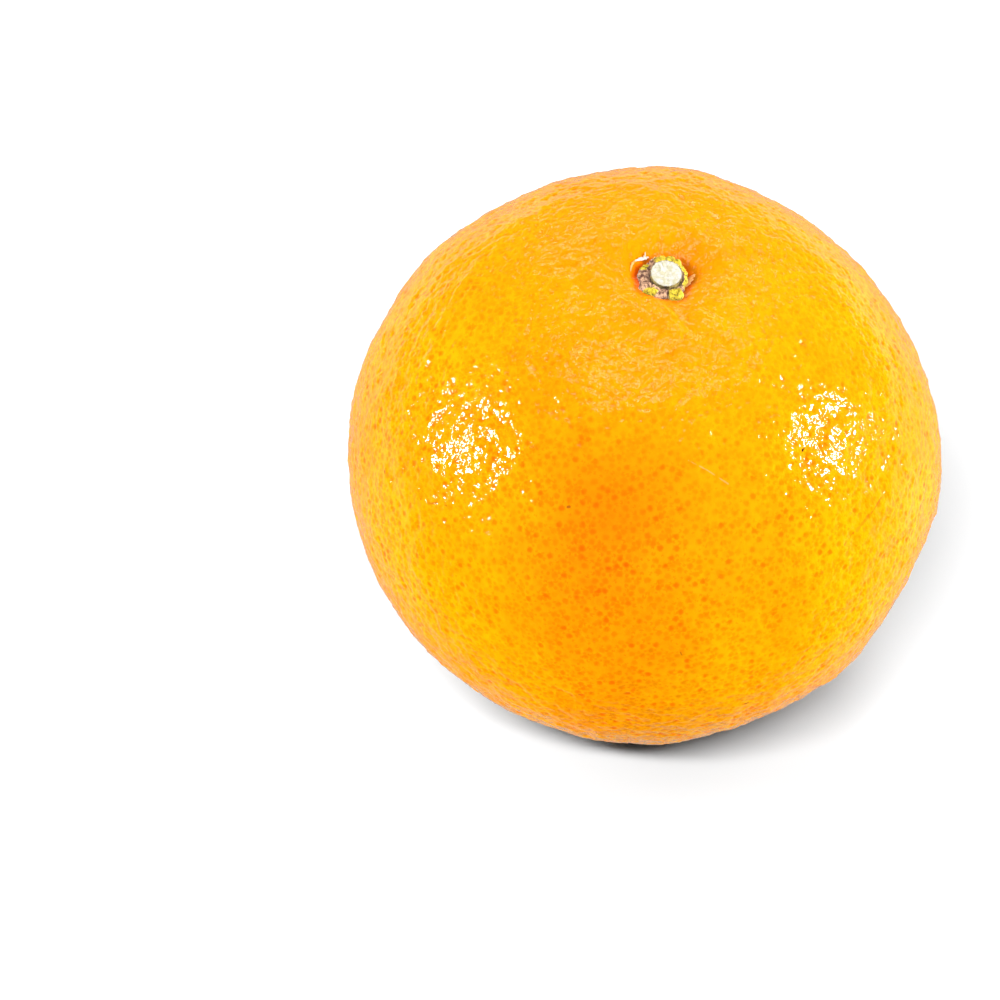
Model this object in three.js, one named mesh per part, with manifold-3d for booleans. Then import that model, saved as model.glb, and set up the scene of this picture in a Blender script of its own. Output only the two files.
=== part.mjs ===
// A whole fresh orange with its calyx and a cut stub of stem, standing on a small flat spot near its
// blossom end. Millimetres, +Z up. The origin is at the bottom, under the middle of the fruit.
//
// Each piece is worked out in the fruit's own frame, whose origin is the middle of the fruit and whose
// +Z runs up the stem. The fruit then leans a little, as it came to rest.
import * as THREE from "three";
import { ConvexHull } from "three/addons/math/ConvexHull.js";
import { mergeVertices } from "three/addons/utils/BufferGeometryUtils.js";
import Module from "manifold-3d";

// ---- Driving dimensions: millimetres and degrees ----------------------------------------------

const EQUATOR_RADIUS = 37.0; // half the width of the fruit
const POLE_RADIUS = 34.6; // half its length along the stem, before its ends dip
const LEAN = 5.3; // the stem leans this far from upright, towards +X
const REST_HEIGHT = 34.0; // from the flat spot up to the middle of the fruit
const GAP = 0.3; // clearance between neighbouring pieces
const WELD = 1e-4; // corners closer than this are one corner

// The stem end: a broad flat crown, a narrow cavity in it, and a brow that rises behind the cavity.
const CROWN = { depth: 1.3, radius: 15 };
const CAVITY = { depth: 2.2, radius: 5.5, power: 3 };
const BROW = { height: 0.4, radius: 8, width: 1.7, longitude: 90, spread: 75 };

// Folds in the rind that run out from the cavity: ridges, and furrows where the height is negative.
const FOLDS = [
  { longitude: 90, height: 0.35, middle: 11, reach: 4, width: 2.2 },
  { longitude: 150, height: 0.25, middle: 10, reach: 4, width: 1.8 },
  { longitude: 205, height: -0.25, middle: 10, reach: 5, width: 2.0 },
  { longitude: 248, height: 0.2, middle: 9, reach: 4, width: 1.8 },
  { longitude: 286, height: -0.5, middle: 8, reach: 4, width: 1.6 },
  { longitude: 318, height: 0.35, middle: 10, reach: 5, width: 2.4 },
  { longitude: 20, height: -0.3, middle: 11, reach: 5, width: 2.2 },
  { longitude: 55, height: -0.25, middle: 10, reach: 4, width: 1.6 },
];

// The scar of the blossom, a small pit at the far end of the stem's axis.
const BLOSSOM_SCAR = { depth: 1.2, radius: 1.9 };

// Broad swellings and hollows that keep the fruit from being an even round.
const SWELLINGS = [
  { longitude: -6, latitude: 8, height: 0.5, spread: 13 },
  { longitude: 25, latitude: 32, height: -0.35, spread: 16 },
  { longitude: 51, latitude: 42, height: -0.2, spread: 9 },
  { longitude: 84, latitude: 47, height: 0.55, spread: 9 },
  { longitude: 131, latitude: 37, height: -0.35, spread: 13 },
  { longitude: 150, latitude: 27, height: 0.15, spread: 9 },
  { longitude: -89, latitude: -35, height: 0.2, spread: 13 },
  { longitude: -58, latitude: -28, height: -0.25, spread: 10 },
  { longitude: -42, latitude: -20, height: 0.3, spread: 9 },
  { longitude: -24, latitude: -8, height: -0.42, spread: 10 },
  { longitude: 110, latitude: -12, height: 0.35, spread: 18 },
  { longitude: 62, latitude: -25, height: -0.3, spread: 16 },
  { longitude: 160, latitude: -30, height: -0.3, spread: 18 },
];

// The rind's pitting, larger than life: each pit is a cell of the surface with its lowest point inside.
// Its depth, how uneven that is, and how far it strays from even rows, as shares of the cells' spacing.
const PITS = { count: 1850, depth: 0.05, uneven: 0.35, jitter: 0.15, seed: 7 };
// The pits are smaller and closer together round the stem and round the scar of the blossom.
const CROWDED = { stem: { crowding: 2.4, spread: 26 }, blossom: { crowding: 5, spread: 10 } };

// The calyx: a collar of dried lobes round the stem, following the floor of the cavity.
const CALYX = { inner: 2.25, outer: 2.74, thickness: 0.75, edge: 0.45, steps: 96 };
const LOBES = [
  { longitude: 190, reach: 0.7, width: 45, blunt: 4, lift: 0.0 },
  { longitude: 228, reach: 0.85, width: 22, blunt: 4, lift: 0.0 },
  { longitude: 258, reach: 0.65, width: 13, blunt: 6, lift: 0.0 },
  { longitude: 291, reach: 0.8, width: 17, blunt: 8, lift: 0.1 },
  { longitude: -5, reach: -0.1, width: 35, blunt: 4, lift: 0.2 },
  { longitude: 95, reach: 0.6, width: 50, blunt: 4, lift: 0.3 },
];

// The stem: a stub cut off a little aslant, just above the calyx, and leaning to one side.
const STEM = { radius: 1.95, top: 32.5, flutes: 17, fluteDepth: 0.04, steps: 68 };
const CUT = { slant: 9, highSide: 90, lean: 0.12, leanSide: 180 };

const COLOURS = {
  rind: 0xf79a10,
  calyx: 0x9c8428,
  stem: 0xe9dfc0,
};

// ---- Small helpers ------------------------------------------------------------------------------

const radians = THREE.MathUtils.degToRad;

/** A bell that is 1 in its middle and fades over about `width` on either side. */
const bell = (distance, width) => Math.exp(-((distance / width) ** 2));

/** The angle from one longitude to another, between -PI and PI. */
const turn = (from, to) => Math.atan2(Math.sin(to - from), Math.cos(to - from));

/** A unit vector from the middle of the fruit. */
function direction(longitude, latitude) {
  const across = Math.cos(latitude);
  return new THREE.Vector3(
    across * Math.cos(longitude),
    across * Math.sin(longitude),
    Math.sin(latitude),
  );
}

/** A repeatable source of random numbers from 0 to 1. */
function randomFrom(seed) {
  let state = seed >>> 0;
  return () => {
    state = (state + 0x6d2b79f5) >>> 0;
    let mixed = Math.imul(state ^ (state >>> 15), 1 | state);
    mixed = (mixed + Math.imul(mixed ^ (mixed >>> 7), 61 | mixed)) ^ mixed;
    return ((mixed ^ (mixed >>> 14)) >>> 0) / 4294967296;
  };
}

/** Moves each vertex of a geometry to where `place` puts it. */
function reshape(geometry, place) {
  const position = geometry.getAttribute("position");
  const point = new THREE.Vector3();
  for (let i = 0; i < position.count; i += 1) {
    const moved = place(point.fromBufferAttribute(position, i));
    position.setXYZ(i, moved.x, moved.y, moved.z);
  }
  geometry.computeVertexNormals();
  return geometry;
}

// ---- The surface of the rind ----------------------------------------------------------------------

const swellings = SWELLINGS.map(({ longitude, latitude, height, spread }) => ({
  centre: direction(radians(longitude), radians(latitude)),
  height,
  spread: radians(spread),
}));

/** How far the rind rises at the stem end, at a distance from the stem's axis. */
function stemEnd(off, longitude) {
  const behind = turn(radians(BROW.longitude), longitude);
  let rise = -CROWN.depth * bell(off, CROWN.radius);
  rise -= CAVITY.depth * Math.exp(-((off / CAVITY.radius) ** CAVITY.power));
  rise += BROW.height * bell(off - BROW.radius, BROW.width) * bell(behind, radians(BROW.spread));
  for (const fold of FOLDS) {
    const away = turn(radians(fold.longitude), longitude);
    const aside = off * Math.sin(away);
    const along = Math.cos(away) > 0 ? 1 : 0;
    rise += fold.height * along * bell(off - fold.middle, fold.reach) * bell(aside, fold.width);
  }
  return rise;
}

/** The rind's distance from the middle of the fruit along a unit vector, without its pits. */
function rindRadius(out) {
  const across = Math.hypot(out.x, out.y);
  const round = 1 / Math.hypot(across / EQUATOR_RADIUS, out.z / POLE_RADIUS);
  const off = across * round;
  let radius = round;
  for (const swelling of swellings) {
    radius += swelling.height * bell(out.angleTo(swelling.centre), swelling.spread);
  }
  if (out.z > 0) return radius + stemEnd(off, Math.atan2(out.y, out.x));
  return radius - BLOSSOM_SCAR.depth * bell(off, BLOSSOM_SCAR.radius);
}

/** The height of the rind at the stem end, over a point given by its distance from the axis. */
function rindHeight(off, longitude) {
  const point = new THREE.Vector3(off * Math.cos(longitude), off * Math.sin(longitude), POLE_RADIUS);
  for (let pass = 0; pass < 5; pass += 1) {
    const radius = rindRadius(point.clone().normalize());
    point.z = Math.sqrt(radius ** 2 - off ** 2);
  }
  return point.z;
}

// ---- The fruit ------------------------------------------------------------------------------------

/** How much closer together than elsewhere the pits are, at an angle from the stem's axis. */
function crowding(polar) {
  const { stem, blossom } = CROWDED;
  const nearStem = stem.crowding * bell(polar, radians(stem.spread));
  return 1 + nearStem + blossom.crowding * bell(Math.PI - polar, radians(blossom.spread));
}

/** The middles of the pits, on a sunflower spiral round the stem's axis, each shifted at random. */
function pitMiddles(random) {
  const goldenAngle = Math.PI * (3 - Math.sqrt(5));
  const slices = 2000;
  const slice = Math.PI / slices;
  const polarAt = (index) => (index + 0.5) * slice;
  const filled = [0];
  for (let i = 0; i < slices; i += 1) {
    filled.push(filled[i] + Math.sin(polarAt(i)) * crowding(polarAt(i)) * slice);
  }
  const middles = [];
  let at = 0;
  for (let i = 0; i < PITS.count; i += 1) {
    while (filled[at + 1] < ((i + 0.5) / PITS.count) * filled[slices]) at += 1;
    const polar = polarAt(at);
    const spacing = Math.sqrt((2 * Math.PI * filled[slices]) / (PITS.count * crowding(polar)));
    const stray = () => (2 * random() - 1) * PITS.jitter * spacing;
    const middle = direction(i * goldenAngle, Math.PI / 2 - polar);
    middle.add(new THREE.Vector3(stray(), stray(), stray())).normalize();
    const depth = PITS.depth * spacing * EQUATOR_RADIUS * (1 + PITS.uneven * (2 * random() - 1));
    middles.push(Object.assign(middle, { depth }));
  }
  return middles;
}

/** The pitted rind as one closed mesh: each pit's middle is joined to the corners of its cell. */
function pittedRind() {
  const hull = new ConvexHull().setFromPoints(pitMiddles(randomFrom(PITS.seed)));
  const onRind = (out, depth) => out.clone().multiplyScalar(rindRadius(out) - depth);
  const corners = new Map();
  for (const face of hull.faces) {
    corners.set(face, onRind(face.midpoint.clone().normalize(), 0));
  }
  const points = [];
  for (const face of hull.faces) {
    for (let i = 0; i < 3; i += 1) {
      const edge = face.getEdge(i);
      const middle = edge.tail().point;
      points.push(onRind(middle, middle.depth), corners.get(edge.twin.face), corners.get(face));
    }
  }
  return new THREE.BufferGeometry().setFromPoints(points);
}

const wasm = await Module();
wasm.setup();

/** A geometry as a solid that can be cut. */
function solidOf(geometry) {
  const bare = geometry.clone();
  bare.deleteAttribute("normal");
  bare.deleteAttribute("uv");
  const merged = mergeVertices(bare, WELD);
  return new wasm.Manifold(
    new wasm.Mesh({
      numProp: 3,
      vertProperties: new Float32Array(merged.getAttribute("position").array),
      triVerts: new Uint32Array(merged.index.array),
    }),
  );
}

/** A solid as a geometry with smooth normals. */
function geometryOf(solid) {
  const mesh = solid.getMesh();
  const geometry = new THREE.BufferGeometry();
  geometry.setAttribute("position", new THREE.BufferAttribute(mesh.vertProperties, 3));
  geometry.setIndex(new THREE.BufferAttribute(mesh.triVerts, 1));
  geometry.computeVertexNormals();
  return geometry;
}

/** The fruit, with the flat spot that it rests on cut square to the world's vertical. */
function makeFruit() {
  const slab = EQUATOR_RADIUS;
  const below = new THREE.BoxGeometry(2 * slab, 2 * slab, slab);
  below.translate(0, 0, -REST_HEIGHT - slab / 2);
  below.rotateY(-radians(LEAN));
  return new THREE.Mesh(
    geometryOf(solidOf(pittedRind()).subtract(solidOf(below))),
    new THREE.MeshStandardMaterial({ color: COLOURS.rind, roughness: 0.42, metalness: 0 }),
  );
}

// ---- The calyx ------------------------------------------------------------------------------------

/** The collar's outer radius and how far its edge lifts, at a longitude. */
function calyxEdge(longitude) {
  const edge = { radius: CALYX.outer, lift: 0 };
  for (const lobe of LOBES) {
    const aside = turn(radians(lobe.longitude), longitude) / radians(lobe.width);
    const share = Math.exp(-(Math.abs(aside) ** lobe.blunt));
    edge.radius += lobe.reach * share;
    edge.lift += lobe.lift * share;
  }
  return edge;
}

/** The collar. Its section runs across (x, 1 to 2) from the stem to the edge, and up (y, 0 to 1). */
function makeCalyx() {
  const section = [
    [1, 0], [1.35, 0], [1.7, 0], [1.96, 0.12],
    [2, 0.6], [1.9, 1], [1.55, 0.92], [1.25, 1], [1.04, 0.95], [1, 0.8], [1, 0],
  ].map(([x, y]) => new THREE.Vector2(x, y));
  const ring = new THREE.LatheGeometry(section, CALYX.steps).rotateX(Math.PI / 2);
  reshape(ring, (point) => {
    const longitude = Math.atan2(point.y, point.x);
    const across = Math.hypot(point.x, point.y) - 1;
    const edge = calyxEdge(longitude);
    const off = CALYX.inner + across * (edge.radius - CALYX.inner);
    const thickness = THREE.MathUtils.lerp(CALYX.thickness, CALYX.edge, across);
    const height = rindHeight(off, longitude) + GAP + edge.lift * across ** 2 + point.z * thickness;
    return point.set(off * Math.cos(longitude), off * Math.sin(longitude), height);
  });
  return new THREE.Mesh(
    ring,
    new THREE.MeshStandardMaterial({ color: COLOURS.calyx, roughness: 0.75, metalness: 0 }),
  );
}

// ---- The stem -------------------------------------------------------------------------------------

/** The stub. Its profile runs from the axis (x, 0 to 1 of its radius) up its side (y, 0 to 1). */
function makeStem() {
  const profile = [
    [0, 0], [0.5, 0], [0.92, 0], [1, 0.06], [0.97, 0.3], [0.95, 0.6], [0.97, 0.9], [0.9, 1],
    [0.6, 1], [0.28, 1], [0.14, 0.94], [0, 0.92],
  ].map(([x, y]) => new THREE.Vector2(x, y));
  const highSide = radians(CUT.highSide);
  const leanSide = radians(CUT.leanSide);
  const stub = new THREE.LatheGeometry(profile, STEM.steps).rotateX(Math.PI / 2);
  reshape(stub, (point) => {
    const longitude = Math.atan2(point.y, point.x);
    const share = Math.hypot(point.x, point.y);
    const flute = STEM.fluteDepth * Math.sin(STEM.flutes * longitude) * share ** 4;
    const off = share * (STEM.radius - STEM.fluteDepth + flute);
    const base = rindHeight(off, longitude) + GAP;
    const uphill = off * Math.cos(turn(highSide, longitude));
    const top = STEM.top + uphill * Math.tan(radians(CUT.slant));
    const height = THREE.MathUtils.lerp(base, top, point.z);
    const aside = CUT.lean * point.z;
    return point.set(
      off * Math.cos(longitude) + aside * Math.cos(leanSide),
      off * Math.sin(longitude) + aside * Math.sin(leanSide),
      height,
    );
  });
  return new THREE.Mesh(
    stub,
    new THREE.MeshStandardMaterial({ color: COLOURS.stem, roughness: 0.85, metalness: 0 }),
  );
}

// ---- The orange -----------------------------------------------------------------------------------

const leaning = new THREE.Group();
leaning.rotation.y = radians(LEAN);
for (const [name, make] of Object.entries({ fruit: makeFruit, calyx: makeCalyx, stem: makeStem })) {
  const mesh = make();
  mesh.name = name;
  leaning.add(mesh);
}

const orange = new THREE.Group();
orange.name = "orange";
orange.add(leaning);
const box = new THREE.Box3().setFromObject(orange, true);
orange.position.set(-(box.min.x + box.max.x) / 2, -(box.min.y + box.max.y) / 2, -box.min.z);

export default orange;
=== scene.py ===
import math

import bpy
import numpy as np
from mathutils import Matrix, Vector
from mathutils.geometry import delaunay_2d_cdt


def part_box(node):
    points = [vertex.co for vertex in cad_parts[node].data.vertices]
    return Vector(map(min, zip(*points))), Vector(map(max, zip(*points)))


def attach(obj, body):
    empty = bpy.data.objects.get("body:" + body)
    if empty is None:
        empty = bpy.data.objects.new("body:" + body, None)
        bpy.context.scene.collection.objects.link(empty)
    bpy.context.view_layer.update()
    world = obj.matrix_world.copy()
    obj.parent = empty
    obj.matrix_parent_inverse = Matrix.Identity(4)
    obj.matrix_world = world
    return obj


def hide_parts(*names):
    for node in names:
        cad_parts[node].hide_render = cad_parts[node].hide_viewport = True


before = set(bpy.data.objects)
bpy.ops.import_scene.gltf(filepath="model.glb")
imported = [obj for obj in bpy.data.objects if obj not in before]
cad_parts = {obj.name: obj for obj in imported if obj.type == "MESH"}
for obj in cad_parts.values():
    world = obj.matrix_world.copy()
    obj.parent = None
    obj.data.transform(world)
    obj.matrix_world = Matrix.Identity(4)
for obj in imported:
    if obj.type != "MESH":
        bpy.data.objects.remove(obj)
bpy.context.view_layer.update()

# ---- Sizes of the fruit, mm and degrees, as in the solids ------------

EQUATOR_RADIUS = 37.0
POLE_RADIUS = 34.6
LEAN = 5.3
REST_HEIGHT = 34.0

CROWN = {"depth": 1.3, "radius": 15}
CAVITY = {"depth": 2.2, "radius": 5.5, "power": 3}
BROW = {"height": 0.4, "radius": 8, "width": 1.7, "longitude": 90, "spread": 75}
BLOSSOM_SCAR = {"depth": 1.2, "radius": 1.9}

# (longitude, height, middle, reach, width) of each ridge or furrow round the cavity
FOLDS = [
    (90, 0.35, 11, 4, 2.2),
    (150, 0.25, 10, 4, 1.8),
    (205, -0.25, 10, 5, 2.0),
    (248, 0.2, 9, 4, 1.8),
    (286, -0.5, 8, 4, 1.6),
    (318, 0.35, 10, 5, 2.4),
    (20, -0.3, 11, 5, 2.2),
    (55, -0.25, 10, 4, 1.6),
]

# (longitude, latitude, height, spread) of each broad swelling or hollow
SWELLINGS = [
    (-6, 8, 0.5, 13),
    (25, 32, -0.35, 16),
    (51, 42, -0.2, 9),
    (84, 47, 0.55, 9),
    (131, 37, -0.35, 13),
    (150, 27, 0.15, 9),
    (-89, -35, 0.2, 13),
    (-58, -28, -0.25, 10),
    (-42, -20, 0.3, 9),
    (-24, -8, -0.42, 10),
    (110, -12, 0.35, 18),
    (62, -25, -0.3, 16),
    (160, -30, -0.3, 18),
]

# ---- The camera: the whole photograph's frame is 1000 pixels wide ----

# Its height over the floor's level in degrees, its distance from the middle of the fruit in mm, its
# focal length in pixels, the pixel where that middle falls, and the width of its sensor in mm
CAMERA_ELEVATION = 49.0
CAMERA_DISTANCE = 371.5
FOCAL_PIXELS = 2945.0
IMAGE_PIXELS = 1000.0
FRUIT_AT_PIXEL = (643.5, 453.8)
SENSOR = 36.0

# A millimetre in metres
MM = 0.001
# How many waves a random field is the sum of, and how their lengths spread round the one asked for
WAVE_COUNT = 48
WAVE_SPREAD = (0.75, 1.3)


# ---- Small helpers ---------------------------------------------------

def bell(distance, width):
    """1 in its middle, fading over about `width` on either side."""
    return np.exp(-((distance / width) ** 2))


def turn(start, end):
    """The angle from one longitude to another, between -pi and pi."""
    return np.arctan2(np.sin(end - start), np.cos(end - start))


def direction(longitude, latitude):
    """Unit vectors from the middle of the fruit."""
    across = np.cos(latitude)
    return np.stack([across * np.cos(longitude), across * np.sin(longitude), np.sin(latitude)], -1)


def unit(vectors):
    return vectors / np.linalg.norm(vectors, axis=-1, keepdims=True)


def patch(out, longitude, latitude, spread):
    """1 at a place on the fruit, fading over about `spread` degrees round it."""
    centre = direction(math.radians(longitude), math.radians(latitude))
    angle = np.arccos(np.clip(out @ centre, -1, 1))
    return bell(angle, math.radians(spread))


def sector(longitude, middle, spread):
    """1 at a longitude `middle`, fading over about `spread` degrees to either side."""
    return bell(turn(math.radians(middle), longitude), math.radians(spread))


def around_axis(off, longitude, height):
    """Points by their distance from the stem's axis, their longitude and their height."""
    return np.stack([off * np.cos(longitude), off * np.sin(longitude), height], -1).reshape(-1, 3)


def waves(points, wavelength, rng):
    """A smooth random field of about one wavelength, with a spread of about 1."""
    aims = unit(rng.normal(size=(WAVE_COUNT, 3))) * (2 * math.pi / wavelength)
    aims *= rng.uniform(*WAVE_SPREAD, (WAVE_COUNT, 1))
    phases = rng.uniform(0, 2 * math.pi, WAVE_COUNT)
    return np.cos(points @ aims.T + phases).sum(1) * math.sqrt(2 / WAVE_COUNT)


def layered_waves(points, layers, rng):
    """The sum of several random fields, each given by its height and wavelength in mm."""
    return sum(height * waves(points, wavelength, rng) for height, wavelength in layers)


def lean(points):
    """From the fruit's own frame to the leaning fruit's, in mm about the middle of the fruit."""
    angle = math.radians(LEAN)
    x, y, z = points[..., 0], points[..., 1], points[..., 2]
    leant = [x * math.cos(angle) + z * math.sin(angle), y, z * math.cos(angle) - x * math.sin(angle)]
    return np.stack(leant, -1)


# ---- The surface of the rind -----------------------------------------

def stem_end(off, longitude):
    """How far the rind rises at the stem end, at a distance from the stem's axis."""
    rise = -CROWN["depth"] * bell(off, CROWN["radius"])
    rise = rise - CAVITY["depth"] * np.exp(-((off / CAVITY["radius"]) ** CAVITY["power"]))
    behind = sector(longitude, BROW["longitude"], BROW["spread"])
    rise = rise + BROW["height"] * (bell(off - BROW["radius"], BROW["width"]) * behind)
    for fold_longitude, height, middle, reach, width in FOLDS:
        away = turn(math.radians(fold_longitude), longitude)
        ridge = bell(off - middle, reach) * bell(off * np.sin(away), width)
        rise = rise + height * ridge * (np.cos(away) > 0)
    return rise


def rind_radius(out):
    """The rind's distance from the middle of the fruit along unit vectors, without its pits."""
    across = np.hypot(out[..., 0], out[..., 1])
    around = 1 / np.hypot(across / EQUATOR_RADIUS, out[..., 2] / POLE_RADIUS)
    off = across * around
    radius = around
    for longitude, latitude, height, spread in SWELLINGS:
        radius = radius + height * patch(out, longitude, latitude, spread)
    upper = stem_end(off, np.arctan2(out[..., 1], out[..., 0]))
    lower = -BLOSSOM_SCAR["depth"] * bell(off, BLOSSOM_SCAR["radius"])
    return radius + np.where(out[..., 2] > 0, upper, lower)


# (longitude and latitude of one end, and of the other) of each fine crease near the stem
CREASES = [
    ((170, 76), (150, 79)),
    ((150, 79), (122, 79)),
    ((122, 79), (95, 75)),
    ((95, 75), (73, 77)),
    ((73, 77), (44, 79)),
    ((44, 79), (20, 74)),
    ((-89, 79), (-80, 74)),
    ((-80, 74), (-66, 68)),
    ((-104, 67), (-98, 70)),
    ((-98, 70), (-89, 74)),
    ((-89, 74), (-72, 70)),
    ((-60, 78), (-48, 70)),
    ((-40, 80), (-30, 72)),
    ((-150, 78), (-162, 70)),
    ((-128, 77), (-135, 70)),
    ((60, 80), (66, 70)),
    ((128, 70), (104, 66)),
]
CREASE = {"height": 0.13, "width": 0.55}
# How often rind_height() corrects a height, and the grid on which find_middle() measures the fruit
HEIGHT_ROUNDS = 5
MEASURING_GRID = {"rows": 240, "columns": 480}


def crease_height(out):
    """How far the fine creases stand up."""
    height = np.zeros(len(out))
    for ends in CREASES:
        start, end = (direction(*np.radians(spot)) * EQUATOR_RADIUS for spot in ends)
        along = end - start
        share = np.clip((out * EQUATOR_RADIUS - start) @ along / (along @ along), 0, 1)
        gap = np.linalg.norm(out * EQUATOR_RADIUS - start - share[:, None] * along, axis=1)
        height = np.maximum(height, CREASE["height"] * bell(gap, CREASE["width"]))
    return height


def rind_height(off, longitude):
    """The rind's height over points at the stem end, given by their distance from the axis."""
    x, y = off * np.cos(longitude), off * np.sin(longitude)
    z = np.full_like(x, POLE_RADIUS)
    for _ in range(HEIGHT_ROUNDS):
        radius = rind_radius(unit(np.stack([x, y, z], -1)))
        z = np.sqrt(radius ** 2 - off ** 2)
    return z


def find_middle():
    """Where the middle of the fruit is, in mm in the model's frame."""
    rows, columns = MEASURING_GRID["rows"], MEASURING_GRID["columns"]
    latitude = np.linspace(-math.pi / 2, math.pi / 2, rows)[:, None]
    longitude = np.linspace(0, 2 * math.pi, columns, endpoint=False)[None, :]
    out = direction(longitude + 0 * latitude, latitude + 0 * longitude)
    points = lean(out * rind_radius(out)[..., None]).reshape(-1, 3)
    low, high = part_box("fruit")
    centre = (points.max(0) + points.min(0)) / 2
    x = (low.x + high.x) / 2 / MM - centre[0]
    y = (low.y + high.y) / 2 / MM - centre[1]
    return np.array([x, y, REST_HEIGHT])


MIDDLE = find_middle()


def place(points):
    """From the fruit's own frame in mm to the model's frame in metres."""
    return (lean(np.asarray(points, float)) + MIDDLE) * MM


def make_object(name, points, faces, material):
    """A smooth piece from points in the fruit's own frame."""
    mesh = bpy.data.meshes.new(name)
    mesh.from_pydata(place(points).tolist(), [], faces)
    mesh.update()
    mesh.polygons.foreach_set("use_smooth", [True] * len(mesh.polygons))
    mesh.materials.append(material)
    piece = bpy.data.objects.new(name, mesh)
    bpy.context.collection.objects.link(piece)
    return piece


def tell(mesh, name, values, domain="POINT"):
    """Gives each point or face of a mesh its own number, or its own place if the values are rows."""
    kind, field = ("FLOAT_VECTOR", "vector") if values.ndim == 2 else ("FLOAT", "value")
    attribute = mesh.attributes.new(name, kind, domain)
    attribute.data.foreach_set(field, values.ravel())


# ---- Materials -------------------------------------------------------

# Where a Mix node keeps its colours among its sockets
MIX_COLOUR_A = 6
MIX_COLOUR_B = 7
MIX_COLOUR_OUT = 2


class Nodes:
    """The node tree of a material or world, with short ways to add and join its nodes."""

    def __init__(self, owner):
        owner.use_nodes = True
        self.owner = owner
        self.tree = owner.node_tree

    def join(self, value, socket):
        """Joins an input to a node's output, or sets it to a plain value."""
        if isinstance(value, bpy.types.NodeSocket):
            self.tree.links.new(value, socket)
        else:
            socket.default_value = value

    def add(self, kind, inputs=(), output=0, **settings):
        """Adds a node and gives one of its outputs."""
        node = self.tree.nodes.new(kind)
        for key, value in settings.items():
            setattr(node, key, value)
        pairs = inputs.items() if isinstance(inputs, dict) else enumerate(inputs)
        for key, value in pairs:
            self.join(value, node.inputs[key])
        return node.outputs[output]

    def math(self, operation, *values, clamp=False):
        return self.add("ShaderNodeMath", values, operation=operation, use_clamp=clamp)

    def vector(self, operation, *values, output=0):
        return self.add("ShaderNodeVectorMath", values, output, operation=operation)

    def coordinates(self):
        return self.add("ShaderNodeTexCoord", output="Object")

    def noise(self, scale, detail=2.0, roughness=0.5):
        inputs = {
            "Vector": self.coordinates(),
            "Scale": scale,
            "Detail": detail,
            "Roughness": roughness,
        }
        return self.add("ShaderNodeTexNoise", inputs)

    def ramp(self, value, start, end, low=0.0, high=1.0):
        """Goes smoothly from one level to another while the value goes from start to end."""
        inputs = {"Value": value, "From Min": start, "From Max": end, "To Min": low, "To Max": high}
        return self.add("ShaderNodeMapRange", inputs, interpolation_type="SMOOTHSTEP")

    def mix(self, share, first, second, blend="MIX"):
        node = self.tree.nodes.new("ShaderNodeMix")
        node.data_type = "RGBA"
        node.blend_type = blend
        self.join(share, node.inputs["Factor"])
        self.join(first, node.inputs[MIX_COLOUR_A])
        self.join(second, node.inputs[MIX_COLOUR_B])
        return node.outputs[MIX_COLOUR_OUT]

    def attribute(self, name, output="Fac"):
        return self.add("ShaderNodeAttribute", output=output, attribute_name=name)

    def bump(self, height, strength, distance, normal=None):
        inputs = {"Strength": strength, "Distance": distance, "Height": height}
        if normal is not None:
            inputs["Normal"] = normal
        return self.add("ShaderNodeBump", inputs)

    def grained(self, grain, fade, first, second):
        """One colour that fades into another over some of the grain's values."""
        return self.mix(self.ramp(grain, *fade), first, second)

    def ragged(self, scale, amount):
        """A noise about 0 that makes an edge ragged."""
        return self.math("MULTIPLY", self.math("SUBTRACT", self.noise(scale), 0.5), amount)

    def set(self, **inputs):
        """Sets or joins inputs of a material's shader, with _ for each space in their names."""
        principled = self.tree.nodes["Principled BSDF"]
        for key, value in inputs.items():
            self.join(value, principled.inputs[key.replace("_", " ")])


def colour(red, green, blue):
    return (red, green, blue, 1.0)


# The rind: its ridges, the glands, and what tints them
RIDGE_COLOUR = colour(0.80, 0.300, 0.0010)
PALE_COLOUR = colour(0.82, 0.345, 0.0012)
MOTTLE_COLOUR = colour(0.72, 0.220, 0.0004)
GLAND_COLOUR = colour(0.76, 0.155, 0.0004)
DEEP_COLOUR = colour(0.68, 0.215, 0.0004)
RIPE_AND_SHADE_TINT = colour(1.0, 0.66, 0.8)
RED_COLOUR = colour(0.95, 0.075, 0.001)
LIT_HALO_COLOUR = colour(1.0, 0.28, 0.001)

# Each look of the stem and the calyx: over which of the grain's values its first colour fades into its
# second
CUT_LOOK = ((0.42, 0.62), colour(0.66, 0.63, 0.57), colour(0.56, 0.52, 0.34))
BARK_LOOK = ((0.35, 0.65), colour(0.06, 0.035, 0.012), colour(0.42, 0.30, 0.08))
GREEN_LOOK = ((0.35, 0.65), colour(0.50, 0.36, 0.014), colour(0.95, 0.72, 0.055))
BROWN_LOOK = ((0.38, 0.62), colour(0.12, 0.045, 0.03), colour(0.80, 0.47, 0.28))
PAPERY_LOOK = ((0.3, 0.6), colour(0.70, 0.42, 0.28), colour(0.86, 0.76, 0.66))
PEACH_LOOK = ((0.3, 0.6), colour(0.86, 0.28, 0.05), colour(0.98, 0.45, 0.13))
SPECK_COLOUR = colour(0.07, 0.03, 0.01)
FLOOR_COLOUR = colour(0.88, 0.88, 0.88)
WHITE = colour(1.0, 1.0, 1.0)

# The small marks on the rind
BROWN = colour(0.30, 0.075, 0.006)
BLACK = colour(0.02, 0.012, 0.008)
TAN = colour(0.62, 0.36, 0.12)
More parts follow.
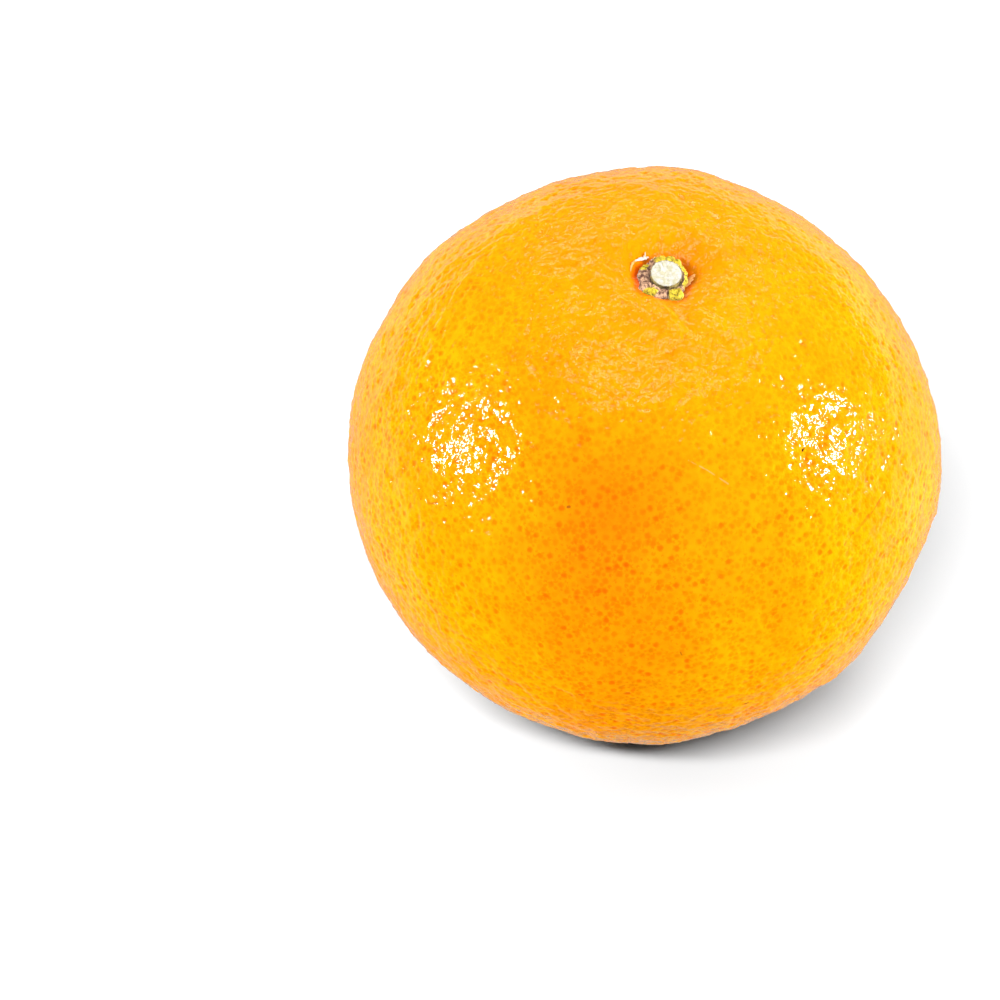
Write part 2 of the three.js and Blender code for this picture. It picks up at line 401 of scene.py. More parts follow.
# (longitude and latitude of one end, of the other end, half width in mm, strength, colour) of each mark
MARKS = [
    ((-48, 23.5), (-45, 24.5), 0.16, 0.55, BROWN),
    ((-44, 24.5), (-40, 25.5), 0.22, 0.35, BROWN),
    ((-39, 25.5), (-35, 26.5), 0.14, 0.55, BROWN),
    ((-83, 48), (-78, 46), 0.10, 0.5, TAN),
    ((-78, 46), (-73, 43), 0.10, 0.5, TAN),
    ((-50.4, 44.2), (-49.4, 44.3), 0.18, 1.0, BLACK),
    ((-155, 17), (-155.3, 17.2), 0.14, 0.9, BROWN),
    ((147, 51), (146.8, 51.1), 0.16, 0.8, BROWN),
    ((-143, 21), (-142.7, 21.2), 0.13, 0.9, BROWN),
    ((-140.4, 22), (-139.2, 23), 0.16, 0.5, BROWN),
    ((-137, 24), (-136.6, 24.2), 0.12, 0.6, BROWN),
    ((-111, 36), (-110.6, 36.2), 0.16, 0.8, BROWN),
    ((-81.8, -17.5), (-81.1, -16.6), 0.13, 1.0, BLACK),
    ((-80.3, -16.6), (-79.3, -17.2), 0.09, 0.6, BROWN),
    ((-70, -7.7), (-68.7, -7.8), 0.10, 0.9, BROWN),
    ((-83.8, 10.5), (-83.5, 9.7), 0.10, 0.6, BROWN),
    ((30, 10), (34, 12), 0.20, 0.5, BROWN),
    ((76, -12), (76.5, -11.8), 0.18, 0.8, BROWN),
    ((120, 18), (122, 22), 0.15, 0.45, TAN),
    ((165, -25), (165.4, -24.8), 0.16, 0.8, BROWN),
]


def surface_point(longitude, latitude):
    """A point of the rind in the model's frame, in metres."""
    out = direction(math.radians(longitude), math.radians(latitude))
    return place(out * rind_radius(out))


# How ragged a mark's edge is, and where it begins and ends to fade, in half widths of the mark
MARK_EDGE = {"scale": 3000.0, "ragged": 0.9, "full": 0.6, "gone": 1.2}


def add_marks(s, here, base):
    """Draws each mark as a soft stroke from one of its ends to the other."""
    ragged = s.ragged(MARK_EDGE["scale"], MARK_EDGE["ragged"])
    for start, end, width, strength, mark_colour in MARKS:
        start, end = surface_point(*start), surface_point(*end)
        along = end - start
        from_start = s.vector("SUBTRACT", here, tuple(start))
        share = s.vector("DOT_PRODUCT", from_start, tuple(along / (along @ along)), output="Value")
        share = s.math("ADD", share, 0.0, clamp=True)
        nearest = s.add("ShaderNodeVectorMath", {0: tuple(along), "Scale": share}, operation="SCALE")
        gap = s.vector("LENGTH", s.vector("SUBTRACT", from_start, nearest), output="Value")
        gap = s.math("ADD", s.math("DIVIDE", gap, width * MM), ragged)
        drawn = s.ramp(gap, MARK_EDGE["full"], MARK_EDGE["gone"], strength, 0.0)
        base = s.mix(drawn, base, mark_colour)
    return base


# How ragged the dots' edges are, and where each kind of dot is full and gone: a gland's by its
# spacing, and a small gland's by its own radius
DOT_RAGGED = {"scale": 2600.0, "amount": 0.35}
DOT = {"full": 0.12, "gone": 0.50}
SMALL_DOT = {"full": 0.4, "gone": 1.2, "strength": 0.8}
# The least and most strength of a gland, and of its dot
DOT_DEPTH = (0.3, 1.4, 0.35, 1.0)
# What varies the colour: the scale and detail of a noise, and over which of its values the change
# fades in
PALE_PATCHES = {"noise": (90.0, 3.0), "fade": (0.35, 0.65)}
MOTTLE = {"noise": (900.0, 4.0, 0.7), "fade": (0.42, 0.62, 0.0, 0.30)}
DOT_HUE = {"noise": (500.0, 1.0), "fade": (0.38, 0.50)}
# How red the ring under the calyx is
RED_SHARE = 0.9
# How far a pit's bump reaches, in spacings of the glands, then its strength and height in metres, and
# those of the skin's grain and finest grain
PIT_REACH = 0.75
PIT_BUMP = (0.25, 0.00006)
GRAIN = {"noise": (1700.0, 1.0), "bump": (0.7, 0.00014)}
FINE_GRAIN = {"noise": (3600.0, 0.0), "bump": (0.3, 0.00005)}


def rind_material():
    s = Nodes(bpy.data.materials.new("rind"))
    here = s.coordinates()
    ragged = s.ragged(DOT_RAGGED["scale"], DOT_RAGGED["amount"])

    # The skin between the glands is mottled.
    patches = s.ramp(s.noise(*PALE_PATCHES["noise"]), *PALE_PATCHES["fade"])
    ridge = s.mix(patches, RIDGE_COLOUR, PALE_COLOUR)
    mottle = s.ramp(s.noise(*MOTTLE["noise"]), *MOTTLE["fade"])
    ridge = s.mix(mottle, ridge, MOTTLE_COLOUR)

    # Small glands lie in some of the gaps between the pits.
    shown = s.attribute("dot_share")
    away = s.vector("DISTANCE", here, s.attribute("small_middle", "Vector"), output="Value")
    away = s.math("ADD", s.math("DIVIDE", away, s.attribute("small_size")), ragged)
    small = s.ramp(away, SMALL_DOT["full"], SMALL_DOT["gone"], SMALL_DOT["strength"], 0.0)
    ridge = s.mix(s.math("MULTIPLY", small, shown), ridge, DEEP_COLOUR)

    # Each gland is a darker dot in the middle of its pit.
    away = s.vector("DISTANCE", here, s.attribute("gland_middle", "Vector"), output="Value")
    away = s.math("DIVIDE", away, s.attribute("gland_size"))
    dot = s.ramp(s.math("ADD", away, ragged), DOT["full"], DOT["gone"], 1.0, 0.0)
    depth = s.ramp(s.attribute("gland_depth"), *DOT_DEPTH)
    depth = s.math("MULTIPLY", dot, depth)
    hue = s.ramp(s.noise(*DOT_HUE["noise"]), *DOT_HUE["fade"])
    dot_colour = s.mix(hue, GLAND_COLOUR, DEEP_COLOUR)
    base = s.mix(s.math("MULTIPLY", depth, shown), ridge, dot_colour)

    # Deeper orange patches: partly painted shade, partly the rind's own tone.
    base = s.mix(s.attribute("ripeness_and_shade"), base, RIPE_AND_SHADE_TINT, "MULTIPLY")
    # The halo is partly painted light: a raised red that offsets the shade of the hollow round the
    # calyx.
    base = s.mix(s.attribute("lit_halo"), base, LIT_HALO_COLOUR)
    base = s.mix(s.math("MULTIPLY", s.attribute("under_calyx"), RED_SHARE), base, RED_COLOUR)
    base = add_marks(s, here, base)

    normal = s.bump(s.ramp(away, 0.0, PIT_REACH), *PIT_BUMP)
    normal = s.bump(s.noise(*GRAIN["noise"]), *GRAIN["bump"], normal)
    normal = s.bump(s.noise(*FINE_GRAIN["noise"]), *FINE_GRAIN["bump"], normal)
    s.set(Base_Color=base, Roughness=0.32, IOR=1.45, Normal=normal, Coat_Normal=normal)
    # The gloss is all in the coat, which stands for the wax.
    s.set(Specular_IOR_Level=0.0)
    s.set(Subsurface_Weight=0.10, Subsurface_Radius=(1.0, 0.35, 0.08), Subsurface_Scale=0.0008)
    s.set(Coat_Weight=1.0, Coat_Roughness=0.04, Coat_IOR=1.45)
    return s.owner


# The grain of the dry stem and calyx, with the strength and height of its bump
STEM_GRAIN = {"noise": (1800.0, 4.0, 0.6), "bump": (0.6, 0.0001)}
CALYX_GRAIN = {"noise": (1500.0, 4.0, 0.65), "bump": (0.8, 0.00015)}


def stem_material():
    s = Nodes(bpy.data.materials.new("stem"))
    grain = s.noise(*STEM_GRAIN["noise"])
    pale = s.grained(grain, *CUT_LOOK)
    bark = s.grained(grain, *BARK_LOOK)
    base = s.mix(s.attribute("cut"), bark, pale)
    normal = s.bump(grain, *STEM_GRAIN["bump"])
    s.set(Base_Color=base, Roughness=0.75, Normal=normal)
    return s.owner


# How much the border between the calyx's green and brown wanders, and how wide it is
GREEN_BORDER = {"scale": 500.0, "ragged": 1.2, "brown": 0.35, "green": 0.6}
SPECKS = {"noise": (4600.0, 2.0, 0.6), "fade": (0.54, 0.64, 0.0, 0.75)}


def calyx_material():
    s = Nodes(bpy.data.materials.new("calyx"))
    grain = s.noise(*CALYX_GRAIN["noise"])
    green = s.grained(grain, *GREEN_LOOK)
    brown = s.grained(grain, *BROWN_LOOK)
    wander = s.ragged(GREEN_BORDER["scale"], GREEN_BORDER["ragged"])
    share = s.math("ADD", s.attribute("green"), wander)
    base = s.mix(s.ramp(share, GREEN_BORDER["brown"], GREEN_BORDER["green"]), brown, green)
    base = s.mix(s.attribute("papery"), base, s.grained(grain, *PAPERY_LOOK))
    base = s.mix(s.attribute("peach"), base, s.grained(grain, *PEACH_LOOK))
    specks = s.ramp(s.noise(*SPECKS["noise"]), *SPECKS["fade"])
    for clean in ("papery", "peach"):
        specks = s.math("MULTIPLY", specks, s.math("SUBTRACT", 1.0, s.attribute(clean)))
    base = s.mix(specks, base, SPECK_COLOUR)
    normal = s.bump(grain, *CALYX_GRAIN["bump"])
    s.set(Base_Color=base, Roughness=0.65, Normal=normal)
    return s.owner


def floor_material():
    s = Nodes(bpy.data.materials.new("floor"))
    s.set(Base_Color=FLOOR_COLOUR, Roughness=0.6)
    return s.owner


# ---- The rind --------------------------------------------------------

# The glands: how far each strays from its even place and how wide its ring of points is, in spacings,
# and how much of its own place it keeps when it is evened out among its neighbours
GLANDS = {
    "count": 12100,
    "jitter": 0.30,
    "own_share": 0.45,
    "ring": 0.30,
    "ring_points": 5,
    "seed": 11,
}
# How deep a gland's middle lies in mm, where the glands are at their mean spacing, and its ring as a
# share of that
GLAND_DEPTH = 0.10
RING_DEPTH = 0.42
MEAN_SPACING = 1.2
# How strong the glands are: most are much alike, and some are small
STRENGTH = {"mean": 1.0, "spread": 0.28, "least": 0.25, "most": 1.6}
# The small glands: how many of the corners between the pits have one, its radius as a share of the
# pits' spacing, and a radius in metres that is too small to show
SMALL_GLANDS = {"share": 0.7, "size": (0.17, 0.29)}
NO_GLAND = 1e-7
# By the angle from the stem: how much closer together the glands are near it, in how many steps that
# is summed, and how much less their dots show there
CROWDING = {"amount": 0.9, "spread": 24}
POLAR_STEPS = 4001
DOT_SHARE = {"least": 0.15, "from": 18, "over": 32}
# (height, wavelength) of each layer of fine waves between the glands
RIND_WAVES = [(0.012, 0.9), (0.028, 1.4), (0.034, 2.6), (0.045, 5.0), (0.060, 11.0)]
# Any axis along which no gland lies, and a gap beyond any between glands
ANY_AXIS = [0.3, 0.5, 0.81]
NOT_NEAR = 10
# Where the rind may be pressed flat, by how nearly it faces down, and a radius beyond any other
FLAT_FACING = 0.5
NOT_FLAT = 1e3
# The red ring and the orange halo round the calyx; the halo is partly painted light in the shaded hollow
# there
RED_RING = {"width": 0.7, "least": 0.3, "sharpness": 4}
LIT_HALO = {"share": 0.85, "reach": 2.6}
# (longitude, spread) of each side of the calyx where the ring is full red
RED_SIDES = [(180, 50), (-5, 50)]
# (longitude, latitude, spread, share) of each deeper orange patch, some painted shade and some the
# rind's own tone
RIPE_AND_SHADE_PATCHES = [
    (-102, 42, 12, 0.48),
    (-101, 29, 13, 0.54),
    (-100, 12, 16, 0.52),
    (-95, -12, 12, 0.3),
    (-62, 20, 12, 0.3),
    (90, 84, 16, 0.2),
    (-110, 81, 8, 0.35),
    (175, 78, 8, 0.2),
    (-161, 17, 12, 0.3),
    (70, 5, 30, 0.5),
    (150, -20, 30, 0.4),
    (10, -45, 25, 0.4),
]
# A small number that keeps the flat picture finite at the pole, and how near two of its points may be
POLE_MARGIN = 1e-7
PICTURE_MARGIN = 1e-9


def triangulate(out):
    """The triangles that join unit vectors, by their flat picture seen from the stem's pole."""
    flat = out[:, :2] / (1 - out[:, 2:3] + POLE_MARGIN)
    made = delaunay_2d_cdt([Vector(p) for p in flat.tolist()], [], [], 0, PICTURE_MARGIN)
    faces, origins = made[2], made[3]
    faces = np.array([origin[0] for origin in origins])[np.array(faces)]
    corners = out[faces]
    normals = np.cross(corners[:, 1] - corners[:, 0], corners[:, 2] - corners[:, 0])
    facing = np.einsum("ij,ij->i", normals, corners.sum(1))
    faces[facing < 0] = faces[facing < 0][:, ::-1]
    return np.vstack([faces, close_pole(faces)])


def close_pole(faces):
    """A fan over the hole that the flat picture leaves round the stem's pole."""
    edges = {(face[i], face[(i + 1) % 3]) for face in faces.tolist() for i in range(3)}
    after = {end: start for start, end in edges if (end, start) not in edges}
    loop = [next(iter(after))]
    while after[loop[-1]] != loop[0]:
        loop.append(after[loop[-1]])
    return np.array([(loop[0], loop[i], loop[i + 1]) for i in range(1, len(loop) - 1)])


def from_stem(out):
    """The angle between unit vectors and the stem."""
    return np.arccos(np.clip(out[..., 2], -1, 1))


def crowding(out):
    return 1 + CROWDING["amount"] * bell(from_stem(out), math.radians(CROWDING["spread"]))


def gland_directions(rng):
    """Gland middles on a sunflower spiral, strewn at random and then evened out a little."""
    count = GLANDS["count"]
    polar = np.linspace(0, math.pi, POLAR_STEPS)
    weight = np.sin(polar) * crowding(np.stack([0 * polar, 0 * polar, np.cos(polar)], -1))
    filled = np.cumsum(weight)
    filled = (filled - filled[0]) / (filled[-1] - filled[0])
    at = np.interp((np.arange(count) + 0.5) / count, filled, polar)
    golden_angle = math.pi * (3 - math.sqrt(5))
    out = direction(np.arange(count) * golden_angle, math.pi / 2 - at)
    spacing = gland_spacing(out)[:, None]
    out = unit(out + rng.normal(size=out.shape) * GLANDS["jitter"] * spacing)
    faces = triangulate(out)
    total, near = np.zeros_like(out), np.zeros(len(out))
    for a, b in ((0, 1), (1, 2), (2, 0)):
        np.add.at(total, faces[:, a], out[faces[:, b]])
        np.add.at(near, faces[:, a], 1)
    own = GLANDS["own_share"]
    return unit(own * out + (1 - own) * total / near[:, None])


def gland_spacing(out):
    """How far apart the glands are, as an angle."""
    return np.sqrt(4 * math.pi / len(out) / crowding(out))


def gland_rings(glands, spacing, rng):
    """The points of the ring round each gland, as one array for each place on the ring."""
    side = unit(np.cross(glands, ANY_AXIS))
    up = np.cross(glands, side)
    start = rng.uniform(0, 2 * math.pi, len(glands))
    rings = []
    for i in range(GLANDS["ring_points"]):
        angle = start + 2 * math.pi * i / GLANDS["ring_points"]
        step = np.cos(angle)[:, None] * side + np.sin(angle)[:, None] * up
        rings.append(unit(glands + step * (GLANDS["ring"] * spacing)[:, None]))
    return rings


def press_flat(out, radius):
    """The rind is pressed flat where the fruit rests."""
    downward = -lean(out)[:, 2]
    flat = REST_HEIGHT / np.maximum(downward, FLAT_FACING)
    return np.minimum(radius, np.where(downward > FLAT_FACING, flat, NOT_FLAT))


def nearest_glands(out, faces, glands, owner, corner_start):
    """Each face's own gland, so that the colour and the pit are sharp inside the face."""
    rows = np.arange(len(faces))
    middle = unit(out[faces].mean(1))
    choices = owner[faces]
    gaps = np.linalg.norm(glands[choices] - middle[:, None], axis=2)
    nearest = choices[rows, gaps.argmin(1)]
    # A corner belongs to three glands, so the face's own ring or middle vertex decides.
    is_corner = faces >= corner_start
    gaps = np.where(is_corner, gaps + NOT_NEAR, gaps)
    return np.where(is_corner.all(1), nearest, choices[rows, gaps.argmin(1)])


def add_small_glands(mesh, points, faces, corner_start, spacing, rng):
    """Tells each face its nearest small gland. Some of the corners between the pits have one."""
    size = spacing * rng.uniform(*SMALL_GLANDS["size"], len(points))
    size[rng.uniform(0, 1, len(points)) > SMALL_GLANDS["share"]] = NO_GLAND
    size[:corner_start] = NO_GLAND
    gaps = np.linalg.norm(points[faces] - points[faces].mean(1)[:, None], axis=2)
    gaps = np.where(faces < corner_start, np.inf, gaps)
    nearest = faces[np.arange(len(faces)), gaps.argmin(1)]
    tell(mesh, "small_middle", points[nearest], "FACE")
    tell(mesh, "small_size", size[nearest], "FACE")


def tint_rind(mesh, out, points):
    """Tells each point of the rind what tints it, and how much the glands show there."""
    polar = np.degrees(from_stem(out))
    least = DOT_SHARE["least"]
    shown = np.clip((polar - DOT_SHARE["from"]) / DOT_SHARE["over"], 0, 1)
    tell(mesh, "dot_share", least + (1 - least) * shown)

    # The rind is red under the calyx and in a narrow ring beyond its edge, and orange a little way round
    # it.
    longitude = np.arctan2(out[:, 1], out[:, 0])
    beyond = np.maximum(np.hypot(points[:, 0], points[:, 1]) - calyx_edge(longitude)[0], 0)
    upper = out[:, 2] > 0
    sides = [sector(longitude, *side) for side in RED_SIDES]
    least = RED_RING["least"]
    full = least + (1 - least) * np.max(sides, axis=0)
    red = full * np.exp(-((beyond / RED_RING["width"]) ** RED_RING["sharpness"]))
    tell(mesh, "under_calyx", red * upper)
    # The halo is partly painted light, a raised red in the shaded hollow round the calyx.
    tell(mesh, "lit_halo", LIT_HALO["share"] * bell(beyond, LIT_HALO["reach"]) * upper)

    # Deeper orange patches: painted shade at longitude about -100 (latitudes 12 to 42) and at -161;
    # elsewhere the rind's own tone.
    ripe_and_shade = np.zeros(len(out))
    for *spot, share in RIPE_AND_SHADE_PATCHES:
        ripe_and_shade += share * patch(out, *spot)
    tell(mesh, "ripeness_and_shade", ripe_and_shade)


def make_rind(material):
    """The rind's points are each gland's middle, the ring round it, and the corners between glands."""
    rng = np.random.default_rng(GLANDS["seed"])
    glands = gland_directions(rng)
    cells = triangulate(glands)
    count, ring_points = len(glands), GLANDS["ring_points"]
    corner_start = count * (ring_points + 1)
    spacing = gland_spacing(glands)
    strength = rng.normal(STRENGTH["mean"], STRENGTH["spread"], count)
    strength = np.clip(strength, STRENGTH["least"], STRENGTH["most"])
    corners = unit(glands[cells].mean(1))
    out = np.vstack([glands, *gland_rings(glands, spacing, rng), corners])
    owner = np.concatenate([np.tile(np.arange(count), ring_points + 1), cells[:, 0]])
    sunk = np.zeros(len(out))
    sunk[:count] = strength
    sunk[count:corner_start] = RING_DEPTH * np.tile(strength, ring_points)
    faces = triangulate(out)

    scale = spacing[owner] * EQUATOR_RADIUS / MEAN_SPACING
    relief = -GLAND_DEPTH * scale * sunk
    for height, wavelength in RIND_WAVES:
        relief += height * waves(out * EQUATOR_RADIUS, wavelength, rng)
    relief += crease_height(out)
    radius = press_flat(out, rind_radius(out) + relief)
    points = out * radius[:, None]
    piece = make_object("orange_rind", points, faces.tolist(), material)

    mesh = piece.data
    nearest = nearest_glands(out, faces, glands, owner, corner_start)
    placed = place(points)
    reach = spacing * EQUATOR_RADIUS * MM
    tell(mesh, "gland_middle", placed[nearest], "FACE")
    tell(mesh, "gland_size", reach[nearest], "FACE")
    tell(mesh, "gland_depth", strength[nearest], "FACE")
    add_small_glands(mesh, placed, faces, corner_start, reach[owner], rng)
    tint_rind(mesh, out, points)
    return piece


# ---- The calyx -------------------------------------------------------

# The collar: its hole and its outer edge, how thick it is at either, how round its section is, and how
# deep it sits in the rind
CALYX = {
    "inner": 1.97,
    "outer": 2.74,
    "thickness": 1.15,
    "edge": 0.5,
    "roundness": 0.4,
    "sunk": 0.12,
    "steps": 480,
    "rows": 56,
    "seed": 5,
}
# (height, wavelength) of each layer of the ragged edge, at the distance from the axis where it is
# worked out, and of the wrinkles on top
CALYX_RAGGED = [(0.06, 1.1), (0.03, 0.4)]
CALYX_RAGGED_AT = 3.3
CALYX_WRINKLES = [(0.05, 0.9), (0.04, 0.45)]
# (longitude, reach, width, bluntness, lift) of each lobe
LOBES = [
    (190, 0.7, 45, 4, 0.0),
    (228, 0.85, 22, 4, 0.0),
    (258, 0.65, 13, 6, 0.0),
    (292, 0.85, 18, 8, 0.1),
    (-5, -0.25, 35, 4, 0.2),
    (95, 0.6, 50, 4, 0.3),
]
# (longitude, width, least and most distance from the axis) of each patch that is still green
GREEN_PATCHES = [
    (236, 14, 2.6, 4.2),
    (292, 19, 2.2, 4.6),
    (150, 12, 2.6, 3.6),
    (80, 55, 2.2, 3.7),
    (10, 40, 2.1, 3.0),
]
# Dry scraps beside the calyx: (distance from the axis, longitude) of the start, middle and end, then
# the width, the height over the rind, and what they look like
SCRAPS = [
    ((3.80, 124), (3.95, 138), (4.40, 152), 0.46, 0.06, "papery"),
    ((3.80, 137), (4.05, 130), (4.50, 125), 0.24, 0.10, "papery"),
    ((4.30, 146), (4.38, 160), (4.30, 174), 0.26, 0.02, "peach"),
    ((3.45, 17), (2.75, 3), (2.40, -26), 0.85, 0.10, "peach"),
]
SCRAP = {"thickness": 0.14, "arch": 0.12, "steps": 30, "sides": 10}
# How a scrap tapers to its ends, and how its width wanders along it
SCRAP_TAPER = {"least": 0.03, "power": 0.6}
SCRAP_WANDER = {"amount": 0.18, "length": 9, "wavelength": 1.4}


def scrap_points(start, middle, end, width, rise, rng):
    """A closed sliver, pointed at both ends, that lies along an arc through three spots on the rind."""
    steps, sides = SCRAP["steps"], SCRAP["sides"]
    path = np.linspace(0, 1, steps)[:, None]
    weights = [(1 - path) * (1 - 2 * path), 4 * path * (1 - path), path * (2 * path - 1)]
    spots = (start, middle, end)
    off, longitude = (sum(weight * spot[i] for weight, spot in zip(weights, spots)) for i in (0, 1))
    longitude = np.radians(longitude)
    taper = np.maximum(np.sin(math.pi * path), SCRAP_TAPER["least"]) ** SCRAP_TAPER["power"]
    along = path * [SCRAP_WANDER["length"], 0, 0]
    wander = SCRAP_WANDER["amount"] * waves(along, SCRAP_WANDER["wavelength"], rng)[:, None]
    taper = taper * (1 + wander)
    around = np.linspace(0, 2 * math.pi, sides, endpoint=False)[None, :]
    off = off + width / 2 * taper * np.cos(around)
    longitude = longitude + 0 * off
    height = rind_height(off, longitude) + rise + SCRAP["arch"] * np.sin(math.pi * path)
    height = height + SCRAP["thickness"] / 2 * taper * np.sin(around)
    points = around_axis(off, longitude, height)
    first = np.arange(steps - 1)[:, None] * sides
    side = np.arange(sides)[None, :]
    a = first + side
    b = first + (side + 1) % sides
    faces = np.stack([a, a + sides, b + sides, b], -1).reshape(-1, 4).tolist()
    last = (steps - 1) * sides
    faces.append(list(range(sides)))
    faces.append(list(reversed(range(last, last + sides))))
    if end[1] < start[1]:
        # An arc that runs the other way round would have its faces inside out.
        faces = [face[::-1] for face in faces]
    return points, faces


def calyx_edge(longitude):
    """How far the calyx reaches from the axis at a longitude, and how much its edge is lifted."""
    radius = np.full_like(longitude, CALYX["outer"])
    lift = np.zeros_like(longitude)
    for lobe, reach, width, blunt, lobe_lift in LOBES:
        aside = np.abs(turn(math.radians(lobe), longitude)) / math.radians(width)
        share = np.exp(-(aside ** blunt))
        radius = radius + reach * share
        lift = lift + lobe_lift * share
    return radius, lift


def green_share(off, longitude):
    """1 on the patches of the collar that are still green."""
    green = np.zeros_like(off)
    for *side, least, most in GREEN_PATCHES:
        within = (off > least) * (off < most)
        green = np.maximum(green, sector(longitude, *side) * within)
    return green


def collar_faces():
    """The quads of the collar, which closes both round the stem and round its section."""
    steps, rows = CALYX["steps"], CALYX["rows"]
    i = np.arange(steps)[:, None]
    j = np.arange(rows)[None, :]
    onward, above = (i + 1) % steps, (j + 1) % rows
    corners = [i * rows + j, onward * rows + j, onward * rows + above, i * rows + above]
    return np.stack(np.broadcast_arrays(*corners), -1).reshape(-1, 4).tolist()


def make_calyx(material):
    rng = np.random.default_rng(CALYX["seed"])
    steps, rows = CALYX["steps"], CALYX["rows"]
    longitude = np.linspace(0, 2 * math.pi, steps, endpoint=False)[:, None]
    # The section goes round from the underside near the stem, out to the edge, and back over the top.
    path = np.linspace(0, 1, rows, endpoint=False)[None, :]
    across = 0.5 - 0.5 * np.cos(2 * math.pi * path)
    upper = path > 0.5
    radius, lift = calyx_edge(longitude)
    around = np.hstack([np.cos(longitude), np.sin(longitude), 0 * longitude])
    radius = radius + layered_waves(around * CALYX_RAGGED_AT, CALYX_RAGGED, rng)[:, None]
    off = CALYX["inner"] + across * (radius - CALYX["inner"])
    body = np.sin(math.pi * np.clip(2 * path - 1, 0, 1)) ** CALYX["roundness"]
    thick = CALYX["thickness"] + (CALYX["edge"] - CALYX["thickness"]) * across
    height = rind_height(off, longitude + 0 * off) - CALYX["sunk"]
    height = height + lift * across ** 2 + thick * np.where(upper, body, 0)
    points = around_axis(off, longitude, height)
    wrinkle = layered_waves(points, CALYX_WRINKLES, rng)
    points[:, 2] += wrinkle * upper.repeat(steps, 0).reshape(-1)
    faces = collar_faces()

    # What each run of points looks like: the collar first, and then each scrap.
    looks = [(len(points), "collar")]
    for *sizes, look in SCRAPS:
        more, more_faces = scrap_points(*sizes, rng)
        faces += [[k + len(points) for k in face] for face in more_faces]
        points = np.vstack([points, more])
        looks.append((len(more), look))
    piece = make_object("orange_calyx", points, faces, material)
    for name in ("papery", "peach"):
        shares = [np.full(count, float(look == name)) for count, look in looks]
        tell(piece.data, name, np.concatenate(shares))
    green = green_share(off, longitude).reshape(-1)
    tell(piece.data, "green", np.concatenate([green, np.zeros(len(points) - len(green))]))
    return piece


# ---- The stem --------------------------------------------------------

# The stub: its radius, the height of its cut over the middle of the fruit, how deep it sits in the rind,
# how much narrower its waist is, its flutes and how fast they fade inwards, and its rows of points
STEM = {
    "radius": 1.95,
    "top": 32.5,
    "sunk": 0.1,
    "waist": 0.04,
    "flutes": 17,
    "flute_depth": 0.04,
    "flute_fade": 4,
    "steps": 272,
    "side_rows": 26,
    "top_rows": 45,
    "seed": 8,
}
# The rim of the cut is worn: from how far up the side, and by what share of the radius
WORN = {"from": 0.9, "amount": 0.05}
# The cut: its slant and which side is high, how far it leans and to which side, and its dented pith
CUT = {"slant": 9, "high_side": 90, "lean": 0.12, "lean_side": 180, "pith": 0.06, "pith_radius": 0.3}
# The rays of the cut wood: their number, height, and how they wander and fade towards the pith
RAYS = {"count": 34, "height": 0.012, "wander": 2, "wander_rate": 5, "from": 0.4}
# (height, wavelength) of the cut's rough grain
CUT_ROUGH = [(0.02, 0.5)]
# The bark's own width, and how far it fades into the wood
BARK = {"width": 0.04, "fade": 0.16}


def stem_faces(count, rows):
    """The quads of the stem, and the fans that close its top and its foot."""
    steps = STEM["steps"]
    i = np.arange(steps)[:, None]
    onward = (i + 1) % steps
    j = np.arange(rows - 1)[None, :]
    a = i * rows + j
    b = onward * rows + j
    faces = np.stack([a, b, b + 1, a + 1], -1).reshape(-1, 4).tolist()
    tip, foot = count, count + 1
    last = rows - 1
    for k in range(steps):
        after = (k + 1) % steps
        faces.append((k * rows + last, after * rows + last, tip))
        faces.append((after * rows, k * rows, foot))
    return faces


